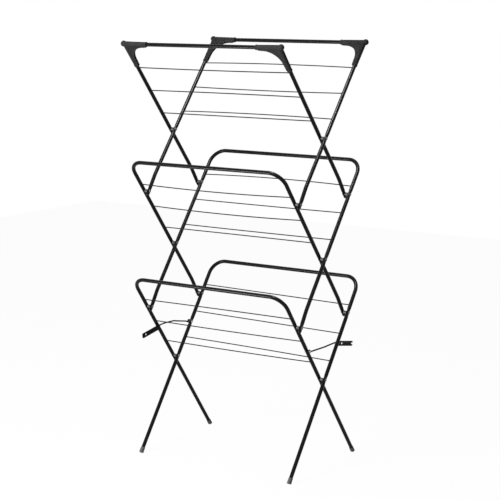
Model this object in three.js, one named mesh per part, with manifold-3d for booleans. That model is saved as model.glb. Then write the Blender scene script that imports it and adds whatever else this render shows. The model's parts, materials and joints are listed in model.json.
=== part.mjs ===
// Three-tier concertina clothes airer: six crossed frames, riveted into a folding scissor tower.
// Millimetres. X runs along the bars, Y is the depth and Z is up; the origin is on the floor, midway.
import * as THREE from 'three';
import { mergeVertices } from 'three/addons/utils/BufferGeometryUtils.js';
import Module from 'manifold-3d';

const wasm = await Module();
wasm.setup();

// Linkage
const tierNames = ['lower', 'middle', 'upper'];
const barSpan = 605; // leg centre to leg centre of one frame
const pivotSide = 245.5; // crossing pivot to junction pivot, the side of every diamond
const openLean = 35.5; // degrees that the lowest legs lean from upright
const barReach = 376.5; // crossing pivot to the centreline of the top bar
const legEndStep = 6.1; // how far a leg's bent lower end steps off the leg's line
const legEndLength = 62; // bent lower end, above its pivot
const legEndPast = 17; // leg that runs on past its lower pivot

// Rungs
const rungsPerFrame = 3;
const firstRungReach = 74; // crossing pivot to the first rung
const rungPitch = 101;
const rungDiameter = 3.5;
const rungSides = 8;

// Tube and its pinched pivots
const tubeDiameter = 12.7;
const tubeWall = 0.8;
const tubeSides = 8;
const bendRadius = 50;
const bendSteps = 5;
const pinchThickness = 8;
const pinchWidth = 13.8;
const pinchFlat = 8; // half the flat stretch of a pinch
const pinchReach = 16; // half the whole stretch of a pinch
const legTipWidth = 9;
const legTipTaper = 5; // length of the taper at a leg's tip

// Shoulder rivets
const rivetShank = 5;
const rivetCollarWall = 3; // the spacer between the legs, around the shank
const rivetHeadLip = 2.5; // head around the shank
const rivetHeadHeight = 2;
const rivetCrownIn = 1.6; // where the domed head rounds over, in from its edge
const rivetCrownDrop = 0.5;
const rivetSides = 10;

// Feet
const footReach = 364.5; // crossing pivot to the foot's end face
const footLength = 19;
const footSole = 6;
const footMouthWall = 0.4;
const footFlare = 0.5; // how much further the end stands out than the mouth
const footEndRound = 1;
const footFlat = 1.8; // depth of the flat worn across the lowest rim
const footSides = 12;

// Corner connectors
const sleeveWall = 1.3;
const sleeveRootSwell = 1; // extra radius at the corner
const sleeveCollarHeight = 0.8;
const sleeveCollarLength = 4;
const barSleeveReach = 88;
const legSleeveReach = 93;
const cornerStop = 20; // corner to the end of each tube
const webThickness = 9;
const webFillet = 54;
const webStand = 3.5; // how far the web's edge stands out of the sleeve where the fillet starts
const webMouthStand = 2.5;
const legWebStep = 1.5; // leg sleeve's mouth to the end of the web
const barWebStep = 6;
const nubDiameter = 20;
const nubRise = 2;
const nubOut = 6.5;
const cornerSides = 12;
const nubRings = 8;
const filletSteps = 5;

// Stays
const stayPivotReach = 134; // crossing pivot to the stay's pivot
const stayWire = 3.9;
const stayWireSides = 8;
const stayRunSteps = 7;
const stayEyeTurn = 250; // degrees that the eye wraps round the pin
const stayEyeSteps = 8;
const staySocket = 12; // wire held inside the plate
const stayPin = 3.4;
const stayPinHead = 8;
const stayPinHeadHeight = 1.5;
const plateHeight = 16;
const plateSkin = 0.25; // metal on each side of the wire's socket
const plateClearance = 0.6; // between a plate and the leg on each side of it
const plateRound = 4;
const plateHole = 7;
const plateHoleSides = 12;
const stays = {
  right: {
    parent: 'front',
    run: 189, // pivot to the wire's end inside the plate
    rise: -2.5,
    bow: 0.5,
    slope: -11,
    wireLine: 4.5,
    plateLength: 92,
    holes: [22, 86],
  },
  left: {
    parent: 'back',
    run: 179,
    rise: 14,
    bow: 9,
    slope: -9.8,
    wireLine: 4.5,
    plateLength: 88,
    holes: [73],
  },
};

// Fits
const seatGap = 0.3; // between pieces that touch
const runFit = 0.35; // radial clearance of a turning pin or a tube in its socket
const cutMargin = 5; // how far a cutter runs past what it cuts

// Derived sizes
const tubeRadius = tubeDiameter / 2;
const socket = tubeRadius + runFit; // bore that takes a tube
const plateThickness = stayWire + 2 * (runFit + plateSkin);
const legOffset = tubeDiameter + plateThickness + 2 * plateClearance; // sideways step between crossed legs
const footMouth = socket + footMouthWall;
const footEnd = footMouth + footFlare;
const sleeveRadius = socket + sleeveWall;
const tubeFlat = tubeRadius * Math.cos(Math.PI / tubeSides); // axis to the tube's side faces
const endTurn = Math.asin(legEndStep / pivotSide); // extra lean that a bent lower end gives the next tier
const lean = tierNames.map((name, tier) => THREE.MathUtils.degToRad(openLean) + tier * endTurn);
const crossingHeight = [
  footReach * Math.cos(lean[0]) + footEnd * Math.sin(lean[0]) - footFlat,
];
for (let tier = 1; tier < tierNames.length; tier += 1) {
  crossingHeight.push(crossingHeight[tier - 1] + 2 * pivotSide * Math.cos(lean[tier - 1]));
}
const lowerPivot = new THREE.Vector3(0, -legEndStep, -pivotSide * Math.cos(endTurn));
const legEndAlong = new THREE.Vector3(0, legEndStep, legEndLength).normalize();
const pivotHole = rivetShank / 2 + runFit;
const eyeRadius = stayPin / 2 + runFit + stayWire / 2; // of the stay wire's own centreline

const finishes = {
  tube: { color: 0x141414, roughness: 0.45, metalness: 0.0 },
  wire: { color: 0x4a4a4a, roughness: 0.5, metalness: 0.2 },
  connector: { color: 0x2a2a2a, roughness: 0.7, metalness: 0.0 },
  foot: { color: 0x4c4c4c, roughness: 0.7, metalness: 0.0 },
  rivet: { color: 0x9a9a9a, roughness: 0.4, metalness: 0.8 },
};

function makePiece(name, geometry, finish) {
  const piece = new THREE.Mesh(geometry, new THREE.MeshStandardMaterial(finishes[finish]));
  piece.name = name;
  return piece;
}

// Solid cuts and joins
function toSolid(geometry) {
  const bare = geometry.clone();
  bare.deleteAttribute('normal');
  bare.deleteAttribute('uv');
  const merged = mergeVertices(bare, 1e-4);
  const vertProperties = new Float32Array(merged.attributes.position.array);
  const triVerts = new Uint32Array(merged.index.array);
  return new wasm.Manifold(new wasm.Mesh({ numProp: 3, vertProperties, triVerts }));
}

function toGeometry(solid) {
  const mesh = solid.getMesh();
  const geometry = new THREE.BufferGeometry();
  geometry.setAttribute('position', new THREE.BufferAttribute(new Float32Array(mesh.vertProperties), 3));
  geometry.setIndex(new THREE.BufferAttribute(new Uint32Array(mesh.triVerts), 1));
  geometry.computeVertexNormals();
  return geometry;
}

function drill(solid, centre, radius) {
  const length = tubeDiameter + 2 * cutMargin;
  const cutter = new THREE.CylinderGeometry(radius, radius, length, rivetSides);
  cutter.rotateZ(Math.PI / 2);
  cutter.translate(centre.x, centre.y, centre.z);
  return solid.subtract(toSolid(cutter));
}

// Bent tubes: a path of stations, each with its place, direction and section
class TubePath extends THREE.Curve {
  constructor(stations) {
    super();
    this.stations = stations;
  }

  stationAt(share) {
    return this.stations[Math.round(share * (this.stations.length - 1))];
  }

  getPointAt(share, target = new THREE.Vector3()) {
    return target.copy(this.stationAt(share).at);
  }

  getTangentAt(share, target = new THREE.Vector3()) {
    return target.copy(this.stationAt(share).along);
  }
}

// A regular outline with one flat side facing straight up
function ring(radius, sides) {
  const points = [];
  for (let side = 0; side < sides; side += 1) {
    const turn = Math.PI / 2 + (2 * Math.PI * (side - 0.5)) / sides;
    points.push(new THREE.Vector2(radius * Math.cos(turn), radius * Math.sin(turn)));
  }
  return points;
}

function sweep(stations, radius, wall, sides) {
  const section = new THREE.Shape(ring(radius, sides));
  if (wall > 0) section.holes.push(new THREE.Path(ring(radius - wall, sides)));
  return new THREE.ExtrudeGeometry(section, {
    steps: stations.length - 1,
    extrudePath: new TubePath(stations),
    bevelEnabled: false,
  });
}

// Flattens each ring of vertices whose station asks for a pinched section
function pinchRings(geometry, stations) {
  const places = geometry.attributes.position;
  const sideways = new THREE.Vector3(1, 0, 0);
  const place = new THREE.Vector3();
  for (let index = 0; index < places.count; index += 1) {
    place.fromBufferAttribute(places, index);
    const station = stations.reduce((best, next) =>
      next.at.distanceToSquared(place) < best.at.distanceToSquared(place) ? next : best);
    if (!station.width) continue;
    const offset = place.clone().sub(station.at);
    const radius = offset.length();
    const inset = tubeRadius - radius;
    const flatFactor = (pinchThickness / 2 - inset) / (radius * Math.cos(Math.PI / tubeSides));
    const wideFactor = (station.width / 2 - inset) / radius;
    const side = offset.x;
    offset.x = 0;
    place.copy(station.at).addScaledVector(offset, wideFactor).addScaledVector(sideways, side * flatFactor);
    places.setXYZ(index, place.x, place.y, place.z);
  }
}

function legStation(x, height, width = 0) {
  return { at: new THREE.Vector3(x, 0, height), along: new THREE.Vector3(0, 0, 1), width };
}

function pinchStations(x, height) {
  return [
    legStation(x, height - pinchReach),
    legStation(x, height - pinchFlat, pinchWidth),
    legStation(x, height + pinchFlat, pinchWidth),
    legStation(x, height + pinchReach),
  ];
}

// The bent lower end of a middle or upper leg, from its tip up to the start of the straight
function legEndStations(x) {
  const fromPivot = (distance, width = 0) => ({
    at: lowerPivot.clone().addScaledVector(legEndAlong, distance).setX(x),
    along: legEndAlong.clone(),
    width,
  });
  const bend = legStation(x, lowerPivot.z + legEndLength);
  bend.along.add(legEndAlong).normalize();
  return [
    fromPivot(-legEndPast, legTipWidth),
    fromPivot(legTipTaper - legEndPast, pinchWidth),
    fromPivot(pinchFlat, pinchWidth),
    fromPivot(pinchReach),
    bend,
  ];
}

// Leg stations from the bottom up; each pivot height gets a pinch
function legStations(tier, x, pivots, top) {
  const bottom = tier === 0 ? [legStation(x, footSole + seatGap - footReach)] : legEndStations(x);
  const middle = pivots.flatMap((height) => pinchStations(x, height));
  return [...bottom, ...middle, ...top];
}

function pivotHeights(tier, side) {
  const heights = [0];
  if (tier === 0 && side > 0) heights.push(stayPivotReach);
  if (tier < tierNames.length - 1) heights.push(pivotSide);
  return heights;
}

function bendStations(side) {
  const centre = new THREE.Vector3(side * (barSpan / 2 - bendRadius), 0, barReach - bendRadius);
  const stations = [];
  for (let step = 0; step <= bendSteps; step += 1) {
    const turn = (Math.PI / 2) * (step / bendSteps);
    const outward = new THREE.Vector3(side * Math.cos(turn), 0, Math.sin(turn));
    const along = new THREE.Vector3(-side * Math.sin(turn), 0, Math.cos(turn));
    stations.push({ at: centre.clone().addScaledVector(outward, bendRadius), along, width: 0 });
  }
  return stations;
}

function drillPivots(geometry, tier, side, x) {
  let solid = toSolid(geometry);
  for (const height of pivotHeights(tier, side)) {
    const radius = height === stayPivotReach ? stayPin / 2 + runFit : pivotHole;
    solid = drill(solid, new THREE.Vector3(x, 0, height), radius);
  }
  if (tier > 0) solid = drill(solid, lowerPivot.clone().setX(x), pivotHole);
  return toGeometry(solid);
}

function reversed(stations) {
  return stations.map((station) => ({ ...station, along: station.along.clone().negate() })).reverse();
}

function bentFrame(tier) {
  const legX = barSpan / 2;
  const left = legStations(tier, -legX, pivotHeights(tier, -1), bendStations(-1));
  const right = legStations(tier, legX, pivotHeights(tier, 1), bendStations(1));
  const stations = [...left, ...reversed(right)];
  const geometry = sweep(stations, tubeRadius, tubeWall, tubeSides);
  pinchRings(geometry, stations);
  return drillPivots(drillPivots(geometry, tier, -1, -legX), tier, 1, legX);
}

function straightLeg(tier, side) {
  const x = (side * barSpan) / 2;
  const top = [legStation(x, barReach - cornerStop)];
  const stations = legStations(tier, x, pivotHeights(tier, side), top);
  const geometry = sweep(stations, tubeRadius, tubeWall, tubeSides);
  pinchRings(geometry, stations);
  return drillPivots(geometry, tier, side, x);
}

function straightBar() {
  const along = new THREE.Vector3(1, 0, 0);
  const end = barSpan / 2 - cornerStop;
  const stations = [-end, end].map((x) => ({ at: new THREE.Vector3(x, 0, barReach), along }));
  return sweep(stations, tubeRadius, tubeWall, tubeSides);
}

function rung(number) {
  const length = barSpan - 2 * (tubeFlat + seatGap);
  const wire = new THREE.CylinderGeometry(rungDiameter / 2, rungDiameter / 2, length, rungSides);
  wire.rotateZ(Math.PI / 2);
  return wire.translate(0, 0, firstRungReach + number * rungPitch);
}

function turned(profile, sides) {
  return new THREE.LatheGeometry(profile.map(([r, z]) => new THREE.Vector2(r, z)), sides);
}

function foot(side) {
  const cup = turned([
    [0, 0],
    [footEnd - footEndRound, 0],
    [footEnd, footEndRound],
    [footMouth, footLength],
    [socket, footLength],
    [socket, footSole],
    [0, footSole],
  ], footSides);
  cup.rotateX(Math.PI / 2);
  cup.translate((side * barSpan) / 2, 0, -footReach);
  const depth = 2 * footLength;
  const floor = new THREE.BoxGeometry(depth, depth, depth);
  const across = footReach * Math.sin(lean[0]);
  floor.translate((side * barSpan) / 2, across, -depth / 2 - crossingHeight[0]);
  floor.rotateX(-lean[0]);
  return toGeometry(toSolid(cup).subtract(toSolid(floor)));
}

// A tapered sleeve with a collar at its mouth, built upwards from the corner
function sleeve(reach) {
  return turned([
    [0, 0],
    [sleeveRadius + sleeveRootSwell, 0],
    [sleeveRadius, reach - sleeveCollarLength],
    [sleeveRadius + sleeveCollarHeight, reach - sleeveCollarLength],
    [sleeveRadius + sleeveCollarHeight, reach],
    [0, reach],
  ], cornerSides);
}

function sleeveBore(reach) {
  const from = cornerStop - seatGap;
  const length = reach + cutMargin - from;
  const bore = new THREE.CylinderGeometry(socket, socket, length, cornerSides);
  return bore.translate(0, from + length / 2, 0);
}

// The gusset between the sleeves: a plate with one large concave fillet
function cornerWeb(side) {
  const outline = new THREE.Shape();
  const legEnd = legSleeveReach - legWebStep;
  const barEnd = barSleeveReach - barWebStep;
  const mouthEdge = sleeveRadius + webMouthStand;
  const centre = sleeveRadius + webStand + webFillet;
  const points = [[0, 0], [0, -legEnd], [mouthEdge, -legEnd]];
  for (let step = 0; step <= filletSteps; step += 1) {
    const turn = (Math.PI / 2) * (step / filletSteps);
    points.push([centre - webFillet * Math.cos(turn), webFillet * Math.sin(turn) - centre]);
  }
  points.push([barEnd, -mouthEdge], [barEnd, 0]);
  outline.setFromPoints(points.map(([inward, up]) => new THREE.Vector2(-side * inward, up)));
  const web = new THREE.ExtrudeGeometry(outline, { depth: webThickness, bevelEnabled: false });
  return web.translate(0, 0, -webThickness / 2).rotateX(Math.PI / 2);
}

function corner(side) {
  const barTurn = (side * Math.PI) / 2;
  const nub = new THREE.SphereGeometry(nubDiameter / 2, cornerSides, nubRings);
  nub.rotateX(Math.PI / 2);
  nub.translate(side * nubOut, 0, nubRise);
  const legSleeve = sleeve(legSleeveReach).rotateX(-Math.PI / 2);
  const barSleeve = sleeve(barSleeveReach).rotateZ(barTurn);
  const legBore = sleeveBore(legSleeveReach).rotateX(-Math.PI / 2);
  const barBore = sleeveBore(barSleeveReach).rotateZ(barTurn);
  const solid = toSolid(legSleeve)
    .add(toSolid(barSleeve))
    .add(toSolid(cornerWeb(side)))
    .add(toSolid(nub))
    .subtract(toSolid(legBore))
    .subtract(toSolid(barBore));
  return toGeometry(solid).translate((side * barSpan) / 2, 0, barReach);
}

function rivet() {
  const inner = legOffset / 2 - pinchThickness / 2 - seatGap;
  const outer = legOffset / 2 + pinchThickness / 2 + seatGap;
  const shank = rivetShank / 2;
  const head = shank + rivetHeadLip;
  const half = [
    [shank + rivetCollarWall, inner],
    [shank, inner],
    [shank, outer],
    [head, outer],
    [head - rivetCrownIn, outer + rivetHeadHeight - rivetCrownDrop],
    [0, outer + rivetHeadHeight],
  ];
  const mirrored = half.map(([r, z]) => [r, -z]).reverse();
  return turned([...mirrored, ...half], rivetSides).rotateZ(Math.PI / 2);
}

// Stays, each in its own frame: pivot at the origin, running towards +Y
function stayCurve(stay) {
  const start = new THREE.Vector3(0, 0, -eyeRadius);
  const end = new THREE.Vector3(0, stay.run, stay.rise);
  const middle = start.clone().lerp(end, 0.5);
  middle.z += 2 * stay.bow;
  return new THREE.QuadraticBezierCurve3(start, middle, end);
}

function stayWirePiece(stay) {
  const stations = [];
  for (let step = 0; step < stayEyeSteps; step += 1) {
    const turn = THREE.MathUtils.degToRad(stayEyeTurn * (step / stayEyeSteps - 1) - 90);
    const at = new THREE.Vector3(0, eyeRadius * Math.cos(turn), eyeRadius * Math.sin(turn));
    stations.push({ at, along: new THREE.Vector3(0, -Math.sin(turn), Math.cos(turn)) });
  }
  const run = stayCurve(stay);
  for (let step = 0; step <= stayRunSteps; step += 1) {
    stations.push({ at: run.getPoint(step / stayRunSteps), along: run.getTangent(step / stayRunSteps) });
  }
  return sweep(stations, stayWire / 2, 0, stayWireSides);
}

// The plate's near edge is at the origin of its outline, and the wire enters wireLine above its middle
function stayPlatePiece(stay) {
  const outline = new THREE.Shape();
  const half = plateHeight / 2;
  const far = stay.plateLength - plateRound;
  outline.moveTo(0, plateRound - half);
  outline.lineTo(0, half - plateRound);
  outline.absarc(plateRound, half - plateRound, plateRound, Math.PI, Math.PI / 2, true);
  outline.absarc(far, half - plateRound, plateRound, Math.PI / 2, 0, true);
  outline.absarc(far, plateRound - half, plateRound, 0, -Math.PI / 2, true);
  outline.absarc(plateRound, plateRound - half, plateRound, -Math.PI / 2, -Math.PI, true);
  for (const along of stay.holes) {
    const hole = new THREE.Path(ring(plateHole / 2, plateHoleSides).map((p) => p.setX(p.x + along)));
    outline.holes.push(hole);
  }
  const plate = new THREE.ExtrudeGeometry(outline, {
    depth: plateThickness,
    bevelEnabled: false,
    curveSegments: 3,
  });
  plate.translate(0, -stay.wireLine, -plateThickness / 2);
  plate.rotateY(Math.PI / 2).rotateX(Math.PI / 2);
  plate.rotateX(THREE.MathUtils.degToRad(stay.slope));
  plate.translate(0, stay.run - staySocket, stay.rise);
  return plate;
}

// The socket follows the last straight stretch of the wire
function wireSocket(stay) {
  const run = stayCurve(stay);
  const from = run.getPoint(1 - 1 / stayRunSteps);
  const end = run.getPoint(1);
  const along = end.clone().sub(from).normalize();
  const to = end.addScaledVector(along, seatGap);
  return sweep([{ at: from, along }, { at: to, along }], stayWire / 2 + runFit, 0, stayWireSides);
}

function stayPinPiece() {
  const legFace = (legOffset + pinchThickness) / 2 + seatGap;
  const eyeFace = -stayWire / 2 - seatGap;
  const profile = [
    [0, eyeFace - stayPinHeadHeight],
    [stayPinHead / 2, eyeFace - stayPinHeadHeight],
    [stayPinHead / 2, eyeFace],
    [stayPin / 2, eyeFace],
    [stayPin / 2, legFace],
    [stayPinHead / 2, legFace],
    [stayPinHead / 2, legFace + stayPinHeadHeight],
    [0, legFace + stayPinHeadHeight],
  ];
  return turned(profile, rivetSides).rotateZ(Math.PI / 2);
}

// One frame, in the plane it lies in: its crossing pivot at the origin and its legs along Z
function frameGroup(tier, face, sideName) {
  const label = `${tierNames[tier]}_${face}`;
  const frame = new THREE.Group();
  if (tier < tierNames.length - 1) {
    frame.add(makePiece(`${label}_frame`, bentFrame(tier), 'tube'));
  } else {
    frame.add(makePiece(`${label}_bar`, straightBar(), 'tube'));
    for (const side of [-1, 1]) {
      frame.add(makePiece(`${label}_${sideName(side)}_leg`, straightLeg(tier, side), 'tube'));
      frame.add(makePiece(`${label}_${sideName(side)}_corner`, corner(side), 'connector'));
    }
  }
  for (let number = 0; number < rungsPerFrame; number += 1) {
    frame.add(makePiece(`${label}_rung_${number + 1}`, rung(number), 'wire'));
  }
  if (tier === 0) {
    for (const side of [-1, 1]) frame.add(makePiece(`${label}_${sideName(side)}_foot`, foot(side), 'foot'));
  }
  frame.position.set(-legOffset / 2, 0, crossingHeight[tier]);
  frame.rotation.x = lean[tier];
  return frame;
}

// Everything whose top leans to one face; the back half is the front half turned round
function faceGroup(face) {
  const half = new THREE.Group();
  const flip = face === 'front' ? 1 : -1;
  const sideName = (side) => (side * flip < 0 ? 'left' : 'right');
  half.rotation.z = face === 'front' ? 0 : Math.PI;
  tierNames.forEach((tierName, tier) => {
    half.add(frameGroup(tier, face, sideName));
    if (tier === tierNames.length - 1) return;
    for (const side of [-1, 1]) {
      const piece = makePiece(`${tierName}_${face}_${sideName(side)}_junction_rivet`, rivet(), 'rivet');
      const across = -pivotSide * Math.sin(lean[tier]);
      const height = crossingHeight[tier] + pivotSide * Math.cos(lean[tier]);
      piece.position.set((side * barSpan) / 2, across, height);
      half.add(piece);
    }
  });
  return half;
}

function stayGroup(name, stay) {
  const group = new THREE.Group();
  group.add(makePiece(`${name}_stay_wire`, stayWirePiece(stay), 'wire'));
  const plate = toGeometry(toSolid(stayPlatePiece(stay)).subtract(toSolid(wireSocket(stay))));
  group.add(makePiece(`${name}_stay_plate`, plate, 'tube'));
  group.add(makePiece(`${name}_stay_pin`, stayPinPiece(), 'rivet'));
  const height = crossingHeight[0] + stayPivotReach * Math.cos(lean[0]);
  group.position.set(barSpan / 2, -stayPivotReach * Math.sin(lean[0]), height);
  return group;
}

const airer = new THREE.Group();
const halves = { front: faceGroup('front'), back: faceGroup('back') };
airer.add(halves.front, halves.back);
tierNames.forEach((tierName, tier) => {
  for (const side of [-1, 1]) {
    const piece = makePiece(`${tierName}_${side < 0 ? 'left' : 'right'}_crossing_rivet`, rivet(), 'rivet');
    piece.position.set((side * barSpan) / 2, 0, crossingHeight[tier]);
    airer.add(piece);
  }
});
for (const [name, stay] of Object.entries(stays)) halves[stay.parent].add(stayGroup(name, stay));

export default airer;
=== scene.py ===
import json
import math
import bmesh
import bpy
from mathutils import Matrix, Vector


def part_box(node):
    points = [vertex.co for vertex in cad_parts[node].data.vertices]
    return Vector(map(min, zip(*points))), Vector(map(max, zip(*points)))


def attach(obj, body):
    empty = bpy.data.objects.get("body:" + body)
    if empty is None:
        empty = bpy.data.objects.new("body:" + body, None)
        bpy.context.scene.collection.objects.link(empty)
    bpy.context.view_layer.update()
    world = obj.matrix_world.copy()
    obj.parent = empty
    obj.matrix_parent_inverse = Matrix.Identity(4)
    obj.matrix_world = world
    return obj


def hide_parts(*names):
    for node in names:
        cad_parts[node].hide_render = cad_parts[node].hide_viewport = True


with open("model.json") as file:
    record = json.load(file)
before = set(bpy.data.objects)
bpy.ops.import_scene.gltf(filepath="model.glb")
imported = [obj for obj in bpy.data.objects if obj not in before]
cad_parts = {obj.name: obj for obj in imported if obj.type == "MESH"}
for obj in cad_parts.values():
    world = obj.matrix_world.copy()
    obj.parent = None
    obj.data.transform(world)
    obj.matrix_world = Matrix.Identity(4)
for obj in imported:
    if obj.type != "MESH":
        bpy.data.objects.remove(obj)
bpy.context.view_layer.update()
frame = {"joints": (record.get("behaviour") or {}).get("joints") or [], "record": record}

mm = 0.001
smoothAngle = 32  # degrees, below which an edge is shaded smooth
weldDistance = 0.002 * mm
cutTolerance = 0.01 * mm
tiers = ("lower", "middle", "upper")
faces = ("front", "back")
sides = ("left", "right")


def centre(node):
    low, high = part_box(node)
    return (low + high) / 2


def onlySideways(point):  # the point as seen from the side, on the middle plane
    return Vector((0, point.y, point.z))


# The linkage, read from the frame: pivots, lean of each tier, and where the legs stand sideways.
pivots = {joint["name"]: Vector(joint["pos_m"]) for joint in frame["joints"]}
crossing = {tier: pivots[tier + "_crossing"] for tier in tiers}
junction = {"lower": pivots["lower_front_junction"], "middle": pivots["middle_front_junction"]}
pivotSide = (junction["lower"] - crossing["lower"]).length
barLine = onlySideways(centre("upper_front_bar"))
barReach = (barLine - crossing["upper"]).length
rungReach = [(onlySideways(centre(f"upper_front_rung_{n}")) - crossing["upper"]).length for n in (1, 2, 3)]
lean = {tier: math.atan2(-junction[tier].y, junction[tier].z - crossing[tier].z)
        for tier in ("lower", "middle")}
lean["upper"] = math.atan2(-barLine.y, barLine.z - crossing["upper"].z)
endTurn = lean["middle"] - lean["lower"]
pivotX = centre("lower_right_crossing_rivet").x
legStep = centre("upper_back_left_leg").x - centre("upper_front_left_leg").x
print("linkage read:", {tier: round(math.degrees(lean[tier]), 2) for tier in tiers})

# Camera first
cameraSet = {"place": (2.9839, -4.2422, 1.5919), "azimuth": 34.975, "elevation": 9.744, "roll": -0.26,
             "lens": 113.33, "sensor": 36, "farthest": 50}


def addCamera():
    bpy.ops.object.camera_add(location=cameraSet["place"])
    camera = bpy.context.object
    turn = Matrix.Rotation(math.radians(cameraSet["azimuth"]), 4, "Z")
    turn @= Matrix.Rotation(math.radians(90 - cameraSet["elevation"]), 4, "X")
    turn @= Matrix.Rotation(math.radians(cameraSet["roll"]), 4, "Z")
    camera.rotation_euler = turn.to_euler()
    camera.data.lens = cameraSet["lens"]
    camera.data.sensor_width = cameraSet["sensor"]
    camera.data.clip_end = cameraSet["farthest"]
    bpy.context.scene.camera = camera


addCamera()


# Finishes: slow patches vary the colour and roughness, and a fine grain makes the bump
noisePlan = {"colourEnds": (0.3, 0.7), "patchDetail": 4, "grainDetail": 2, "grainDepth": 0.02 * mm}


def newMaterial(name, colour, roughness, metallic=0.0, specular=0.5):
    material = bpy.data.materials.new(name)
    material.use_nodes = True
    shader = material.node_tree.nodes["Principled BSDF"]
    shader.inputs["Base Color"].default_value = (*colour, 1)
    shader.inputs["Roughness"].default_value = roughness
    shader.inputs["Metallic"].default_value = metallic
    shader.inputs["Specular IOR Level"].default_value = specular
    return material, material.node_tree.nodes, material.node_tree.links, shader


def addNoise(nodes, links, scale, detail):
    coords = nodes.new("ShaderNodeTexCoord")
    noise = nodes.new("ShaderNodeTexNoise")
    noise.inputs["Scale"].default_value = scale
    noise.inputs["Detail"].default_value = detail
    links.new(coords.outputs["Object"], noise.inputs["Vector"])
    return noise


def varyColour(nodes, links, shader, noise, dark, light):
    ramp = nodes.new("ShaderNodeValToRGB")
    for end, position, colour in zip(ramp.color_ramp.elements, noisePlan["colourEnds"], (dark, light)):
        end.position = position
        end.color = (*colour, 1)
    links.new(noise.outputs["Fac"], ramp.inputs["Fac"])
    links.new(ramp.outputs["Color"], shader.inputs["Base Color"])


def varyRoughness(nodes, links, shader, noise, low, high):
    spread = nodes.new("ShaderNodeMapRange")
    spread.inputs["To Min"].default_value = low
    spread.inputs["To Max"].default_value = high
    links.new(noise.outputs["Fac"], spread.inputs["Value"])
    links.new(spread.outputs["Result"], shader.inputs["Roughness"])


def addBump(nodes, links, shader, noise, strength, depth):
    bump = nodes.new("ShaderNodeBump")
    bump.inputs["Strength"].default_value = strength
    bump.inputs["Distance"].default_value = depth
    links.new(noise.outputs["Fac"], bump.inputs["Height"])
    links.new(bump.outputs["Normal"], shader.inputs["Normal"])


def makeFinish(name, look):
    material, nodes, links, shader = newMaterial(
        name, look["light"], look["rough"][1], look.get("metallic", 0.0), look["specular"])
    patches = addNoise(nodes, links, look["patchScale"], noisePlan["patchDetail"])
    varyColour(nodes, links, shader, patches, look["dark"], look["light"])
    varyRoughness(nodes, links, shader, patches, *look["rough"])
    grain = addNoise(nodes, links, look["grainScale"], noisePlan["grainDetail"])
    depth = look.get("grainDepth", noisePlan["grainDepth"])
    addBump(nodes, links, shader, grain, look["grainStrength"], depth)
    return material


looks = {
    "powderCoat": {"dark": (0.0025, 0.0025, 0.0026), "light": (0.0042, 0.0042, 0.0043), "rough": (0.27, 0.32),
                   "specular": 0.1, "patchScale": 26, "grainScale": 420, "grainStrength": 0.002},
    "stayCoat": {"dark": (0.0012, 0.0012, 0.0012), "light": (0.0022, 0.0022, 0.0022), "rough": (0.4, 0.5),
                 "specular": 0.05, "patchScale": 40, "grainScale": 900, "grainStrength": 0.02},
    "wireCoat": {"dark": (0.007, 0.007, 0.007), "light": (0.012, 0.012, 0.012), "rough": (0.35, 0.45),
                 "specular": 0.06, "patchScale": 40, "grainScale": 1200, "grainStrength": 0.1},
    "cornerPlastic": {"dark": (0.042, 0.042, 0.043), "light": (0.058, 0.058, 0.059), "rough": (0.5, 0.6),
                      "specular": 0.01, "patchScale": 60, "grainScale": 1500, "grainStrength": 0.1},
    "footPlastic": {"dark": (0.085, 0.085, 0.085), "light": (0.12, 0.12, 0.12), "rough": (0.5, 0.62),
                    "specular": 0.25, "patchScale": 70, "grainScale": 1500, "grainStrength": 0.2,
                    "grainDepth": 0.04 * mm},
    "zincHead": {"dark": (0.1, 0.1, 0.1), "light": (0.17, 0.17, 0.172), "rough": (0.35, 0.45),
                 "specular": 0.4, "metallic": 0.5, "patchScale": 240, "grainScale": 1600,
                 "grainStrength": 0.1},
    "pinZinc": {"dark": (0.36, 0.36, 0.36), "light": (0.5, 0.5, 0.505), "rough": (0.35, 0.45),
                "specular": 0.4, "metallic": 0.3, "patchScale": 240, "grainScale": 1600,
                "grainStrength": 0.1},
    # the spacer's grey is a painted highlight: light caught on the top of a black spacer, painted over all of
    # it
    "spacerPaintedHighlight": {"dark": (0.07, 0.07, 0.07), "light": (0.11, 0.11, 0.11), "rough": (0.42, 0.52),
                    "specular": 0.3, "metallic": 0.2, "patchScale": 160, "grainScale": 1600,
                    "grainStrength": 0.1},
}
finishes = {name: makeFinish(name, look) for name, look in looks.items()}


# Modelling helpers
def startRing(name, at, radius, count, turn=(0, 0, 0), filled=True):
    bpy.ops.object.select_all(action="DESELECT")
    bpy.ops.mesh.primitive_circle_add(
        vertices=count, radius=radius, fill_type="NGON" if filled else "NOTHING", location=at, rotation=turn)
    piece = bpy.context.object
    piece.name = name
    piece.data.name = name
    bpy.ops.object.transform_apply(location=True, rotation=True, scale=True)
    bpy.ops.object.mode_set(mode="EDIT")
    bpy.ops.mesh.select_all(action="SELECT")
    return piece


def pick(piece, test):  # selects, in edit mode, the vertices that pass the test
    mesh = bmesh.from_edit_mesh(piece.data)
    for vert in mesh.verts:
        vert.select = test(vert.co)
    mesh.select_mode = {"VERT"}
    mesh.select_flush_mode()
    bmesh.update_edit_mesh(piece.data)


def squeeze(piece, test, factors, about):  # scales the vertices that pass the test
    pick(piece, test)
    bpy.ops.transform.resize(value=factors, center_override=about)


def newPen(at, heading, radius):  # where the open end of a tube is, its heading and its two half widths
    return {"at": Vector(at), "heading": Vector(heading), "thick": radius, "wide": radius}


def extendTube(pen, distance, thick, wide):
    step = pen["heading"] * distance
    bpy.ops.mesh.extrude_region_move(TRANSFORM_OT_translate={"value": step})
    pen["at"] = pen["at"] + step
    bpy.ops.transform.resize(value=(thick / pen["thick"], wide / pen["wide"], 1), center_override=pen["at"])
    pen["thick"], pen["wide"] = thick, wide


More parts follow.
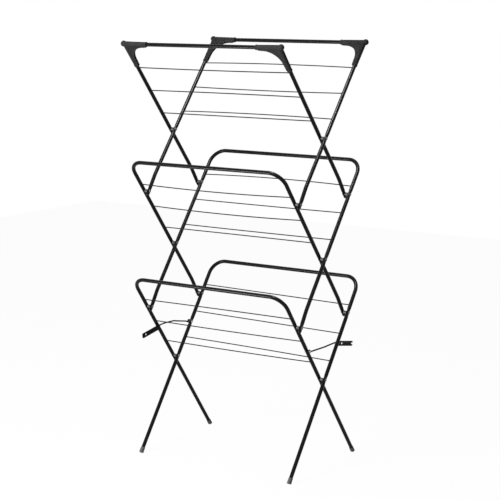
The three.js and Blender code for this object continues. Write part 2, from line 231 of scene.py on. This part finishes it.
def bendTube(pen, middle, axis, angle, steps):
    bpy.ops.mesh.spin(steps=steps, angle=-angle, center=middle, axis=axis)
    turn = Matrix.Rotation(angle, 3, Vector(axis))
    pen["at"] = Vector(middle) + turn @ (pen["at"] - Vector(middle))
    pen["heading"] = turn @ pen["heading"]


def leaveEdit(piece, smooth=smoothAngle):  # closes and shades a piece, and leaves edit mode
    bpy.ops.object.mode_set(mode="EDIT")
    bpy.ops.mesh.select_all(action="SELECT")
    bpy.ops.mesh.remove_doubles(threshold=weldDistance)
    bpy.ops.mesh.normals_make_consistent(inside=False)
    bpy.ops.object.mode_set(mode="OBJECT")
    bpy.ops.object.shade_smooth_by_angle(angle=math.radians(smooth))
    return piece


def applyModifier(piece, kind, **settings):
    bpy.ops.object.select_all(action="DESELECT")
    piece.select_set(True)
    bpy.context.view_layer.objects.active = piece
    modifier = piece.modifiers.new(kind.title(), kind)
    for key, value in settings.items():
        setattr(modifier, key, value)
    bpy.ops.object.modifier_apply(modifier=modifier.name)


def cutWith(piece, cutter):
    applyModifier(piece, "BOOLEAN", operation="DIFFERENCE", solver="EXACT", object=cutter)
    bpy.data.objects.remove(cutter)


def joinPieces(pieces):
    bpy.ops.object.select_all(action="DESELECT")
    for piece in pieces:
        piece.select_set(True)
    bpy.context.view_layer.objects.active = pieces[0]
    bpy.ops.object.join()
    return pieces[0]


def ringStack(name, rings, count, filled=True):  # a turned shape from (height, radius) rings
    height, radius = rings[0]
    piece = startRing(name, (0, 0, height), radius, count, filled=filled)
    pen = newPen((0, 0, height), (0, 0, 1), radius)
    for nextHeight, nextRadius in rings[1:]:
        extendTube(pen, nextHeight - pen["at"].z, nextRadius, nextRadius)
    return leaveEdit(piece)


def settle(piece, place=(0, 0, 0), turn=(0, 0, 0), mirrored=False):  # puts the place into the mesh
    bpy.ops.object.select_all(action="DESELECT")
    piece.select_set(True)
    bpy.context.view_layer.objects.active = piece
    piece.location = place
    piece.rotation_euler = turn
    if mirrored:
        piece.scale.x = -1
    bpy.ops.object.transform_apply(location=True, rotation=True, scale=True)
    if mirrored:
        leaveEdit(piece)
    return piece


def copyOf(source, name, place=(0, 0, 0), mirrored=False):
    bpy.ops.object.select_all(action="DESELECT")
    source.select_set(True)
    bpy.context.view_layer.objects.active = source
    bpy.ops.object.duplicate()
    piece = bpy.context.object
    piece.name = name
    piece.data.name = name
    return settle(piece, place, mirrored=mirrored)


def toFace(piece, tier, face):  # stands an upright piece up in its frame's leaning plane
    settle(piece, (-legStep / 2, 0, crossing[tier].z), (lean[tier], 0, 0))
    if face == "back":
        settle(piece, turn=(0, 0, math.pi))
    return piece


def hand(piece, body, slot, finish, *nodes):
    piece.data.materials.clear()
    piece.data.materials.append(finishes[finish])
    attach(piece, body)
    if nodes:
        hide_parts(*nodes)


def worldSide(face, side):  # a frame's own right leg is at the left once the frame is turned round
    return side if face == "front" else {"left": "right", "right": "left"}[side]


# Bent tubes
tube = {"radius": 6.35 * mm, "count": 28, "bend": 50 * mm, "bendSteps": 14,
        "flat": 4 * mm,  # half the thickness of a pinch
        "pinch": ((17, 1.0, 1.0), (14, 0.95, 1.02), (11.5, 0.86, 1.06), (9, 0.78, 1.09)),
        "tip": ((3.5, 0.78, 1.08), (9, 0.78, 1.07), (12.5, 0.76, 0.98), (15, 0.7, 0.8), (16.4, 0.56, 0.56),
                (17, 0.35, 0.3)),
        "hole": 2.85 * mm, "stayHole": 2.05 * mm, "drill": 30 * mm, "drillCount": 32,
        "legEnd": 62 * mm, "softness": 150 * mm, "softSteps": 4,
        "ringSlack": 0.2 * mm, "pinchSlack": 0.3 * mm}  # how near a ring counts as the one that is meant


def pinchTube(pen, toPivot):  # runs the tube through a pivot that is toPivot ahead
    radius = tube["radius"]
    along = 0
    shape = [(toPivot - reach * mm, thick, wide) for reach, thick, wide in tube["pinch"]]
    shape += [(toPivot + reach * mm, thick, wide) for reach, thick, wide in reversed(tube["pinch"])]
    for stop, thick, wide in shape:
        extendTube(pen, stop - along, thick * radius, wide * radius)
        along = stop


def flattenPivot(piece, at):
    for way in (-1, 1):
        plane = at.x + way * tube["flat"]
        reach = tube["pinch"][-1][0] * mm + tube["pinchSlack"]
        squeeze(piece, lambda co: abs(co.z - at.z) < reach and (co.x - plane) * way > 0 and
                abs(co.x - at.x) < 2 * tube["radius"], (0, 1, 1), (plane, at.y, at.z))


def drillPivots(piece, holes):
    drills = []
    for at, radius in holes:
        bpy.ops.object.select_all(action="DESELECT")
        bpy.ops.mesh.primitive_cylinder_add(
            vertices=tube["drillCount"], radius=radius, depth=tube["drill"], location=at,
            rotation=(0, math.pi / 2, 0))
        drills.append(bpy.context.object)
    cutWith(piece, joinPieces(drills))
    bpy.ops.object.shade_smooth_by_angle(angle=math.radians(smoothAngle))


def bendLegEnd(pen):  # the lower end of a middle or upper leg steps off its line by a small bend
    radius = tube["radius"]
    lift = tube["softness"] * math.tan(legEndTurn / 2)
    kink = lowerPivot.z + tube["legEnd"]
    extendTube(pen, pen["at"].z - kink - lift, radius, radius)
    middle = (pen["at"].x, -tube["softness"], pen["at"].z)
    bendTube(pen, middle, (1, 0, 0), -legEndTurn, tube["softSteps"])
    toPivot = (lowerPivot - Vector((0, pen["at"].y, pen["at"].z))).length
    along = 0
    for reach, thick, wide in tube["pinch"]:
        extendTube(pen, toPivot - reach * mm - along, thick * radius, wide * radius)
        along = toPivot - reach * mm
    for reach, thick, wide in tube["tip"]:
        extendTube(pen, toPivot + reach * mm - along, thick * radius, wide * radius)
        along = toPivot + reach * mm


lowerPivot = Vector((0, -pivotSide * math.sin(endTurn), -pivotSide * math.cos(endTurn)))
legEndTurn = math.atan2(-lowerPivot.y, tube["legEnd"])
foot = {"end": 7.6 * mm, "mouth": 7.2 * mm, "bore": 6.5 * mm, "sole": 6 * mm, "length": 19 * mm,
        "flat": 1.8 * mm, "seat": 0.3 * mm, "count": 40, "smooth": 30,
        "rim": ((0, 1.2), (0.35, 0.4), (1.2, 0)),  # height and inset
        "lip": (0.5 * mm, 0.25 * mm)}
footReach = crossing["lower"].z + foot["flat"] - foot["end"] * math.sin(lean["lower"])
footReach /= math.cos(lean["lower"])
stayPivot = pivots["right_stay_pivot"]
stayReach = (onlySideways(stayPivot) - onlySideways(crossing["lower"])).length
stayRings = [stayReach + reach * mm for reach, thick, wide in tube["pinch"]]
stayRings += [stayReach - reach * mm for reach, thick, wide in reversed(tube["pinch"])]


def runDown(pen, tier):  # the leg, from its bend to its lower end
    pinchTube(pen, pen["at"].z - pivotSide)
    if tier == "lower":
        for height in stayRings:
            extendTube(pen, pen["at"].z - height, tube["radius"], tube["radius"])
    pinchTube(pen, pen["at"].z)
    if tier == "lower":
        extendTube(pen, pen["at"].z + footReach - foot["sole"] - foot["seat"], tube["radius"], tube["radius"])
    else:
        bendLegEnd(pen)


def pinchStayPivot(piece):  # only one leg of a lower frame carries a stay
    for reach, thick, wide in tube["pinch"]:
        for height in (stayReach - reach * mm, stayReach + reach * mm):
            squeeze(piece, lambda co: co.x > 0 and abs(co.z - height) < tube["ringSlack"],
                    (thick, wide, 1), (pivotX, 0, height))
    flattenPivot(piece, Vector((pivotX, 0, stayReach)))


def bentFrame(tier):  # one half from the middle of the bar down, then mirrored
    radius, bend = tube["radius"], tube["bend"]
    piece = startRing(f"{tier}_frame_tube", (0, 0, barReach), radius, tube["count"],
                      (0, math.pi / 2, 0), False)
    pen = newPen((0, 0, barReach), (1, 0, 0), radius)
    extendTube(pen, pivotX - bend, radius, radius)
    bendTube(pen, (pivotX - bend, 0, barReach - bend), (0, 1, 0), math.pi / 2, tube["bendSteps"])
    runDown(pen, tier)
    bpy.ops.mesh.edge_face_add()
    bpy.ops.object.mode_set(mode="OBJECT")
    applyModifier(piece, "MIRROR", use_axis=(True, False, False), merge_threshold=cutTolerance)
    bpy.ops.object.mode_set(mode="EDIT")
    pivotsAt = [Vector((way * pivotX, 0, height)) for way in (-1, 1) for height in (pivotSide, 0)]
    if tier != "lower":
        pivotsAt += [lowerPivot + Vector((way * pivotX, 0, 0)) for way in (-1, 1)]
    for at in pivotsAt:
        flattenPivot(piece, at)
    holes = [(at, tube["hole"]) for at in pivotsAt]
    if tier == "lower":
        pinchStayPivot(piece)
        holes.append((Vector((pivotX, 0, stayReach)), tube["stayHole"]))
    leaveEdit(piece)
    drillPivots(piece, holes)
    return piece


for tier in ("lower", "middle"):
    source = bentFrame(tier)
    for face in faces:
        piece = copyOf(source, f"{tier}_{face}_tube")
        toFace(piece, tier, face)
        hand(piece, f"{tier}_{face}", "tube_paint", "powderCoat", f"{tier}_{face}_frame")
    bpy.data.objects.remove(source)
print("bent frames made")


corner = {"stop": 20 * mm, "bore": 6.5 * mm, "boreMargin": 5 * mm, "boreCount": 48,
          "legReach": 93 * mm, "barReach": 88 * mm, "sleeve": 8 * mm, "root": 9 * mm, "sleeveCount": 48,
          "collar": 8.8 * mm, "collarLength": 3.8 * mm, "collarSlope": 0.8 * mm,
          "collarEdge": (0.6 * mm, 0.5 * mm),
          "web": 9 * mm, "edge": 11.5 * mm, "mouthEdge": 10.5 * mm, "legStep": 1.5 * mm, "barStep": 6 * mm,
          "lead": (8 * mm, 0.6 * mm), "fillet": 54 * mm, "filletTurn": 45, "filletSteps": 8,
          "nub": 10 * mm, "nubAt": (-6.5 * mm, 0, 2 * mm), "nubCount": (40, 24),
          "voxel": 0.9 * mm, "softenBy": 0.5, "softenTimes": 4, "smooth": 50}


def upperLeg():
    radius = tube["radius"]
    top = (pivotX, 0, barReach - corner["stop"])
    piece = startRing("upper_leg_tube", top, radius, tube["count"])
    pen = newPen(top, (0, 0, -1), radius)
    pinchTube(pen, pen["at"].z)
    bendLegEnd(pen)
    pivotsAt = [Vector((pivotX, 0, 0)), lowerPivot + Vector((pivotX, 0, 0))]
    for at in pivotsAt:
        flattenPivot(piece, at)
    leaveEdit(piece)
    drillPivots(piece, [(at, tube["hole"]) for at in pivotsAt])
    return piece


def sleevePart(reach, turn):
    collar, start = corner["collar"], reach - corner["collarLength"]
    edgeLength, edgeDrop = corner["collarEdge"]
    rings = [(0, corner["root"]), (start - corner["collarSlope"], corner["sleeve"]), (start, collar),
             (reach - edgeLength, collar), (reach, collar - edgeDrop)]
    return settle(ringStack("sleeve", rings, corner["sleeveCount"]), turn=turn)


def webPart(reach, step, turn):  # a strip from the sleeve's mouth up round half the fillet, to the corner
    fillet, steps = corner["fillet"], corner["filletSteps"]
    leadLength, leadDrop = corner["lead"]
    middle = corner["edge"] + fillet
    stations = [(-middle - leadLength, corner["edge"] - leadDrop)]
    for part in range(steps + 1):
        angle = math.radians(corner["filletTurn"] * part / steps)
        stations.append((fillet * math.sin(angle) - middle, middle - fillet * math.cos(angle)))
    stations.append((0, stations[-1][1]))
    mouth = step - reach
    bpy.ops.mesh.primitive_plane_add(size=1, location=(0, 0, mouth))
    strip = bpy.context.object
    strip.scale = (2 * corner["mouthEdge"], corner["web"], 1)
    bpy.ops.object.transform_apply(location=True, rotation=True, scale=True)
    bpy.ops.object.mode_set(mode="EDIT")
    bpy.ops.mesh.select_all(action="SELECT")
    pen = newPen((0, 0, mouth), (0, 0, 1), corner["mouthEdge"])
    for height, width in stations:
        extendTube(pen, height - pen["at"].z, width, corner["mouthEdge"])
    squeeze(strip, lambda co: co.x < 0, (0, 1, 1), (0, 0, 0))  # the half outside the corner goes flat
    return settle(leaveEdit(strip), turn=turn)


def cornerPiece():  # the left one, its sleeves running inward along the bar and down along the leg
    diagonal = (math.pi, math.pi / 2, 0)
    around, along = corner["nubCount"]
    bpy.ops.mesh.primitive_uv_sphere_add(
        segments=around, ring_count=along, radius=corner["nub"], location=corner["nubAt"])
    bpy.ops.object.transform_apply(location=True)
    parts = [bpy.context.object]
    parts += [sleevePart(corner["legReach"], (math.pi, 0, 0)),
              sleevePart(corner["barReach"], (0, math.pi / 2, 0))]
    parts += [webPart(corner["legReach"], corner["legStep"], (0, 0, 0)),
              webPart(corner["barReach"], corner["barStep"], diagonal)]
    piece = joinPieces(parts)
    piece.name = "upper_corner"
    applyModifier(piece, "REMESH", mode="VOXEL", voxel_size=corner["voxel"])
    applyModifier(piece, "SMOOTH", factor=corner["softenBy"], iterations=corner["softenTimes"])
    bores = []
    for reach, way, turn in ((corner["legReach"], Vector((0, 0, -1)), (0, 0, 0)),
                             (corner["barReach"], Vector((1, 0, 0)), (0, math.pi / 2, 0))):
        length = reach + corner["boreMargin"] - corner["stop"]
        bpy.ops.mesh.primitive_cylinder_add(
            vertices=corner["boreCount"], radius=corner["bore"], depth=length,
            location=way * (corner["stop"] + length / 2), rotation=turn)
        bores.append(bpy.context.object)
    cutWith(piece, joinPieces(bores))
    return leaveEdit(piece, corner["smooth"])


legSource, cornerSource = upperLeg(), cornerPiece()
barEnd = pivotX - corner["stop"]
barSource = settle(ringStack("bar", [(-barEnd, tube["radius"]), (barEnd, tube["radius"])], tube["count"]),
                   (0, 0, barReach), (0, math.pi / 2, 0))
for face in faces:
    for side in sides:
        onRight = side == "right"
        label = f"upper_{face}_{worldSide(face, side)}"
        leg = copyOf(legSource, label + "_tube", (0 if onRight else -2 * pivotX, 0, 0))
        toFace(leg, "upper", face)
        hand(leg, f"upper_{face}", "tube_paint", "powderCoat", label + "_leg")
        joint = copyOf(cornerSource, label + "_joint", (pivotX if onRight else -pivotX, 0, barReach),
                       mirrored=onRight)
        toFace(joint, "upper", face)
        hand(joint, f"upper_{face}", "corner_plastic", "cornerPlastic", label + "_corner")
    bar = copyOf(barSource, f"upper_{face}_rail")
    toFace(bar, "upper", face)
    hand(bar, f"upper_{face}", "tube_paint", "powderCoat", f"upper_{face}_bar")
for source in (legSource, cornerSource, barSource):
    bpy.data.objects.remove(source)
print("upper legs, bars and corners made")

# Rungs, pressed through the legs and welded; few of them are quite straight or level
rungWire = {"radius": 1.75 * mm, "count": 16, "legSide": 5.9 * mm, "past": 6.9 * mm, "arcSteps": 16,
            "weld": ((2.6 * mm, 1.06), (1.4 * mm, 1.3), (1 * mm, 1.7), (1 * mm, 1)),  # length and swell
            "tip": (0.6 * mm, 0.6)}
rungBows = {("upper", "front"): (0, 1.6, -2), ("upper", "back"): (3.3, -2.9, 3.7),
            ("middle", "front"): (0.8, -6.5, -7), ("middle", "back"): (-0.8, -0.8, 5.7),
            ("lower", "front"): (-2.4, -2, 1.2), ("lower", "back"): (1.2, 0, 0)}
rungTilts = {("lower", "front"): 5.5 * mm, ("lower", "back"): 6 * mm}
rungLifts = {("lower", "front"): (4.8, 2.2, 4.2), ("lower", "back"): (-3, -3.4, 0.6)}  # in mm, like the bows


def rungPiece(name, bow, tilt):  # bow is the rise of its middle, tilt the rise from one end to the other
    r, inner, outer = rungWire["radius"], pivotX - rungWire["legSide"], pivotX + rungWire["past"]
    weld, tip = rungWire["weld"], rungWire["tip"]
    start = inner - sum(step for step, swell in weld[:-1])
    through = outer - inner - weld[-1][0] - tip[0]
    steps, swells = zip(*weld, (through, 1), tip)  # of one end, from the span outward
    half = 2 * bow * mm / start  # the angle that half the arc turns through
    piece = startRing(name, (0, 0, -outer), r * tip[1], rungWire["count"])
    pen = newPen((0, 0, -outer), (-math.sin(half), 0, math.cos(half)), r * tip[1])
    for step, swell in zip(reversed(steps), (*reversed(swells[:-1]), 1)):
        extendTube(pen, step, r * swell, r * swell)
    if bow:
        toMiddle = Vector((math.cos(half), 0, math.sin(half))) * (start / half)
        bendTube(pen, pen["at"] + toMiddle, (0, 1, 0), 2 * half, rungWire["arcSteps"])
    else:
        extendTube(pen, 2 * start, r, r)
    for step, swell in zip(steps, swells):
        extendTube(pen, step, r * swell, r * swell)
    leaveEdit(piece)
    return settle(piece, turn=(0, math.pi / 2 - tilt / (2 * pivotX), 0))


for tier in tiers:
    for face in faces:
        lifts = rungLifts.get((tier, face), (0, 0, 0))
        for number, (reach, bow, lift) in enumerate(zip(rungReach, rungBows[tier, face], lifts), 1):
            wire = rungPiece(f"{tier}_{face}_wire_{number}", bow, rungTilts.get((tier, face), 0))
            settle(wire, (0, 0, reach + lift * mm))
            toFace(wire, tier, face)
            hand(wire, f"{tier}_{face}", "rung_wire", "wireCoat", f"{tier}_{face}_rung_{number}")
print("rungs made")

# Shoulder rivets: a light head outside each leg and a spacer between them, whose grey is a painted highlight
# standing for light caught on the top of a black spacer
rivet = {"shank": 2.5 * mm, "head": 5 * mm, "face": 13.7 * mm, "edge": 0.15 * mm, "count": 32,
         "dome": ((0.6, 0.97), (1.2, 0.84), (1.7, 0.6), (1.95, 0.3), (2, 0.05)),  # rise and share of the head
         "spacer": 5.5 * mm, "bore": 2.7 * mm, "gap": 5.3 * mm, "chamfer": 0.3 * mm}


def rivetPiece():
    head, face, edge = rivet["head"], rivet["face"], rivet["edge"]
    half = [(face, rivet["shank"]), (face, head - edge), (face + edge, head)]
    half += [(face + rise * mm, head * share) for rise, share in rivet["dome"]]
    rings = [(-along, radius) for along, radius in reversed(half)] + half
    return settle(ringStack("rivet", rings, rivet["count"]), turn=(0, math.pi / 2, 0))


def spacerPiece():
    gap, wall, bore, cut = rivet["gap"], rivet["spacer"], rivet["bore"], rivet["chamfer"]
    rings = [(-gap, wall - cut), (cut - gap, wall), (gap - cut, wall), (gap, wall - cut),
             (gap, bore), (-gap, bore), (-gap, wall - cut)]
    return settle(ringStack("spacer", rings, rivet["count"], filled=False), turn=(0, math.pi / 2, 0))


rivetBody = {node: body for body, nodes in frame["record"]["behaviour"]["bodies"].items()
             for node in nodes if "rivet" in node}
rivetSource, spacerSource = rivetPiece(), spacerPiece()
for node, body in rivetBody.items():
    heads = copyOf(rivetSource, node + "_heads", centre(node))
    hand(heads, body, "rivet_zinc", "zincHead", node)
    # the spacer's grey finish is a painted highlight, not the spacer's own colour
    spacer = copyOf(spacerSource, node + "_spacer", centre(node))
    hand(spacer, body, "rivet_zinc", "spacerPaintedHighlight")
for source in (rivetSource, spacerSource):
    bpy.data.objects.remove(source)
print("rivets made:", len(rivetBody))


# Feet: caps, cut off flat where they stand on the floor
def footPiece():
    mouth, bore, length = foot["mouth"], foot["bore"], foot["length"]
    lipLength, lipDrop = foot["lip"]
    rings = [(height * mm, foot["end"] - inset * mm) for height, inset in foot["rim"]]
    rings += [(length - lipLength, mouth), (length, mouth - lipDrop), (length, bore), (foot["sole"], bore)]
    return settle(ringStack("foot", rings, foot["count"]), (0, 0, -footReach))


def cutAtFloor(piece):
    bpy.ops.object.mode_set(mode="EDIT")
    bpy.ops.mesh.select_all(action="SELECT")
    bpy.ops.mesh.bisect(plane_co=(0, 0, 0), plane_no=(0, 0, -1), use_fill=True, clear_outer=True,
                        threshold=cutTolerance)
    leaveEdit(piece, foot["smooth"])


footSource = footPiece()
for face in faces:
    for side in sides:
        label = f"lower_{face}_{worldSide(face, side)}_foot"
        cap = copyOf(footSource, label + "_cap", (pivotX if side == "right" else -pivotX, 0, 0))
        toFace(cap, "lower", face)
        cutAtFloor(cap)
        hand(cap, f"lower_{face}", "foot_plastic", "footPlastic", label)
bpy.data.objects.remove(footSource)
print("feet made")

# Stays: a wire with an eye at its pivot, a drilled plate round its end and a pin
stay = {"wire": 2.5 * mm, "wireCount": 16, "eye": 4.3 * mm, "eyeTurn": 255, "eyeSteps": 22,
        "bend": 14 * mm, "bendSteps": 4, "leastBend": 0.002,
        "blade": (2.4 * mm, 17 * mm), "round": 4 * mm, "roundSteps": 6, "edge": 0.35 * mm, "edgeAngle": 50,
        "hole": 3.5 * mm, "holeCount": 32, "drill": 19.2 * mm, "wireLine": 5.2,
        "collar": 3.2 * mm, "collarLength": 13 * mm, "collarRound": 0.4 * mm,
        "collarNose": (1.5 * mm, 1.4 * mm), "turnedCount": 28,
        "pin": 1.7 * mm, "pinHead": 5 * mm, "pinSeat": 0.3 * mm,
        "innerHead": ((1.5, 0.6), (1.2, 0.9), (0.3, 1), (0, 1)),  # depth and share of the head
        "outerHead": ((0, 1), (0.4, 1), (1.2, 0.75), (1.5, 0.3))}
stays = {  # the bends of each wire, along and up from its pivot in mm
    "right": {"face": "front",
              "run": ((10.5, -1.5), (90, -2.5), (130, -1), (163, -0.5), (177, -1.5), (188, -3.6)),
              "plateAt": (177, -1.5), "slope": -11, "length": 92, "holes": (23.5, 88.5), "stretch": 1.5},
    "left": {"face": "back",
             "run": ((16.5, 2), (62.5, 11), (86, 16), (131, 17.5), (155, 16.5), (167, 15), (178, 13.1)),
             "plateAt": (167, 15), "slope": -9.8, "length": 95, "holes": (77,), "stretch": 1.05},
}


def turnBetween(first, second):
    return math.atan2(first.cross(second).x, first.dot(second))


def bendWire(pen, angle, radius, steps):
    side = Matrix.Rotation(math.copysign(math.pi / 2, angle), 3, "X") @ pen["heading"]
    bendTube(pen, pen["at"] + side * radius, (1, 0, 0), angle, steps)


def stayWirePiece(name, run):
    points = [Vector((0, y * mm, z * mm)) for y, z in run]
    radius, eye = stay["wire"], stay["eye"]
    away = points[0].normalized()
    leave = math.acos(eye / points[0].length)  # from the line of sight down to where the run touches the eye
    touch = Matrix.Rotation(-leave, 3, "X") @ away * eye
    turn = math.radians(stay["eyeTurn"])
    start = Matrix.Rotation(-turn, 3, "X") @ touch
    heading = Matrix.Rotation(math.pi / 2, 3, "X") @ start.normalized()
    tilt = math.atan2(heading.z, heading.y)
    piece = startRing(name, start, radius, stay["wireCount"], (tilt - math.pi / 2, 0, 0))
    pen = newPen(start, heading, radius)
    bendTube(pen, (0, 0, 0), (1, 0, 0), turn, stay["eyeSteps"])
    for point, after in zip(points, points[1:]):
        angle = turnBetween(pen["heading"], after - point)
        trim = stay["bend"] * math.tan(abs(angle) / 2)
        extendTube(pen, (point - pen["at"]).length - trim, radius, radius)
        if abs(angle) > stay["leastBend"]:
            bendWire(pen, angle, stay["bend"], stay["bendSteps"])
    extendTube(pen, (points[-1] - pen["at"]).length, radius, radius)
    return leaveEdit(piece)


def stayPlatePiece(name, plan):  # a thin blade with a pressed collar round the wire
    thick, tall = stay["blade"]
    length, line = plan["length"] * mm, -stay["wireLine"] * mm
    bpy.ops.object.select_all(action="DESELECT")
    bpy.ops.mesh.primitive_cube_add(size=1, location=(0, length / 2, line))
    piece = bpy.context.object
    piece.name = piece.data.name = name
    piece.scale = (thick, length, tall)
    bpy.ops.object.transform_apply(location=True, rotation=True, scale=True)
    bpy.ops.object.mode_set(mode="EDIT")
    bpy.ops.mesh.select_all(action="DESELECT")
    mesh = bmesh.from_edit_mesh(piece.data)
    for edge in mesh.edges:
        edge.select = abs(edge.verts[0].co.x - edge.verts[1].co.x) > thick / 2
    bmesh.update_edit_mesh(piece.data)
    bpy.ops.mesh.bevel(offset=stay["round"], segments=stay["roundSteps"])
    bpy.ops.object.mode_set(mode="OBJECT")
    drills = []
    for along in plan["holes"]:
        bpy.ops.mesh.primitive_cylinder_add(
            vertices=stay["holeCount"], radius=stay["hole"], depth=stay["drill"],
            location=(0, along * mm, line), rotation=(0, math.pi / 2, 0))
        bpy.ops.transform.resize(value=(1, plan["stretch"], 1))
        drills.append(bpy.context.object)
    cutWith(piece, joinPieces(drills))
    radius, end, roundOff = stay["collar"], stay["collarLength"], stay["collarRound"]
    noseLength, noseDrop = stay["collarNose"]
    rings = [(0, radius - roundOff), (roundOff, radius), (end - noseLength, radius), (end, radius - noseDrop)]
    collar = ringStack("collar", rings, stay["turnedCount"])
    settle(collar, turn=(-math.pi / 2, 0, 0))
    applyModifier(piece, "BOOLEAN", operation="UNION", solver="EXACT", object=collar)
    bpy.data.objects.remove(collar)
    applyModifier(piece, "BEVEL", width=stay["edge"], segments=2, limit_method="ANGLE",
                  angle_limit=math.radians(stay["edgeAngle"]))
    y, z = plan["plateAt"]
    settle(piece, (0, y * mm, z * mm), (math.radians(plan["slope"]), 0, 0))
    return leaveEdit(piece)


def stayPinPiece(name):
    pin, head, reach, low = stay["pin"], stay["pinHead"], rivet["face"], -stay["wire"] - stay["pinSeat"]
    rings = [(low - depth * mm, head * share) for depth, share in stay["innerHead"]]
    rings += [(low, pin), (reach, pin)]
    rings += [(reach + rise * mm, head * share) for rise, share in stay["outerHead"]]
    return settle(ringStack(name, rings, stay["turnedCount"]), turn=(0, -math.pi / 2, 0))


for side, plan in stays.items():
    parts = {"wire": (stayWirePiece(side + "_stay_rod", plan["run"]), "stay_steel", "stayCoat"),
             "plate": (stayPlatePiece(side + "_stay_hook", plan), "stay_steel", "stayCoat"),
             "pin": (stayPinPiece(side + "_stay_peg"), "rivet_zinc", "pinZinc")}
    for node, (piece, slot, finish) in parts.items():
        settle(piece, (pivotX, -stayReach * math.sin(lean["lower"]), stayPivot.z))
        if plan["face"] == "back":
            settle(piece, turn=(0, 0, math.pi))
        body = f"lower_{plan['face']}" if node == "pin" else side + "_stay"
        hand(piece, body, slot, finish, f"{side}_stay_{node}")
print("stays made")


# Stage and light
stage = {"size": 9, "colour": (0.5, 0.5, 0.5), "rough": 0.9, "roomLight": 0.04,
         "white": 1.1, "whiteShare": 0.87}  # how much of what the camera sees of the floor is plain white
lamps = {  # a "dull" lamp casts no highlights, and a "sheen" lamp makes nothing but highlights on the tubes
    "keyLight": {"kind": "dull", "place": (-0.8, -1.8, 4.0), "aim": (0, 0, 0.7), "size": (1.2, 1.2),
                 "power": 50},
    "fillLight": {"kind": "dull", "place": (-0.2, -4.0, 1.2), "aim": (0, 0, 0.9), "size": (0.9, 0.6),
                  "power": 118},
    "highSheen": {"kind": "sheen", "place": (0.17, -0.75, 2.9), "aim": (0, 0.2, 1.2), "size": (0.5, 0.3),
                  "power": 105},
    "lowSheen": {"kind": "sheen", "place": (-0.7, -1.5, 0.45), "aim": (0, 0, 1.2), "size": (0.5, 0.6),
                 "power": 42},
}


def seenDirectly(nodes, links):  # 1 for what the camera sees, also by reflection or through glass
    rays = nodes.new("ShaderNodeLightPath")
    mirrored = nodes.new("ShaderNodeMath")
    mirrored.operation = "MAXIMUM"
    links.new(rays.outputs["Is Glossy Ray"], mirrored.inputs[0])
    links.new(rays.outputs["Is Transmission Ray"], mirrored.inputs[1])
    seen = nodes.new("ShaderNodeMath")
    seen.operation = "MAXIMUM"
    links.new(rays.outputs["Is Camera Ray"], seen.inputs[0])
    links.new(mirrored.outputs[0], seen.inputs[1])
    return seen.outputs[0]


def addStage():
    bpy.ops.object.select_all(action="DESELECT")
    bpy.ops.mesh.primitive_plane_add(size=stage["size"], location=(0, 0, 0))
    floor = bpy.context.object
    floor.name = "floor"
    material, nodes, links, shader = newMaterial("paleFloor", stage["colour"], stage["rough"])
    glow = nodes.new("ShaderNodeEmission")
    glow.inputs["Strength"].default_value = stage["white"]
    share = nodes.new("ShaderNodeMath")
    share.operation = "MULTIPLY"
    share.inputs[1].default_value = stage["whiteShare"]
    links.new(seenDirectly(nodes, links), share.inputs[0])
    mix = nodes.new("ShaderNodeMixShader")
    links.new(share.outputs[0], mix.inputs["Fac"])
    links.new(shader.outputs[0], mix.inputs[1])
    links.new(glow.outputs[0], mix.inputs[2])
    links.new(mix.outputs[0], nodes["Material Output"].inputs["Surface"])
    floor.data.materials.append(material)


def addWorld():
    world = bpy.data.worlds.new("studio")
    bpy.context.scene.world = world
    world.use_nodes = True
    nodes, links = world.node_tree.nodes, world.node_tree.links
    back = nodes["Background"]
    back.inputs["Color"].default_value = (1, 1, 1, 1)
    strength = nodes.new("ShaderNodeMapRange")
    strength.inputs["To Min"].default_value = stage["roomLight"]
    links.new(seenDirectly(nodes, links), strength.inputs["Value"])
    links.new(strength.outputs["Result"], back.inputs["Strength"])


def addLamp(name, lamp):
    bpy.ops.object.light_add(type="AREA", location=lamp["place"])
    light = bpy.context.object
    light.name = name
    light.data.shape = "RECTANGLE"
    light.data.size, light.data.size_y = lamp["size"]
    light.data.energy = lamp["power"]
    light.rotation_euler = (Vector(lamp["aim"]) - Vector(lamp["place"])).to_track_quat("-Z", "Y").to_euler()
    light.visible_diffuse = lamp["kind"] != "sheen"
    light.visible_glossy = lamp["kind"] != "dull"


addStage()
addWorld()
for name, lamp in lamps.items():
    addLamp(name, lamp)
bpy.context.scene.view_settings.view_transform = "Standard"
print("stage and light set")
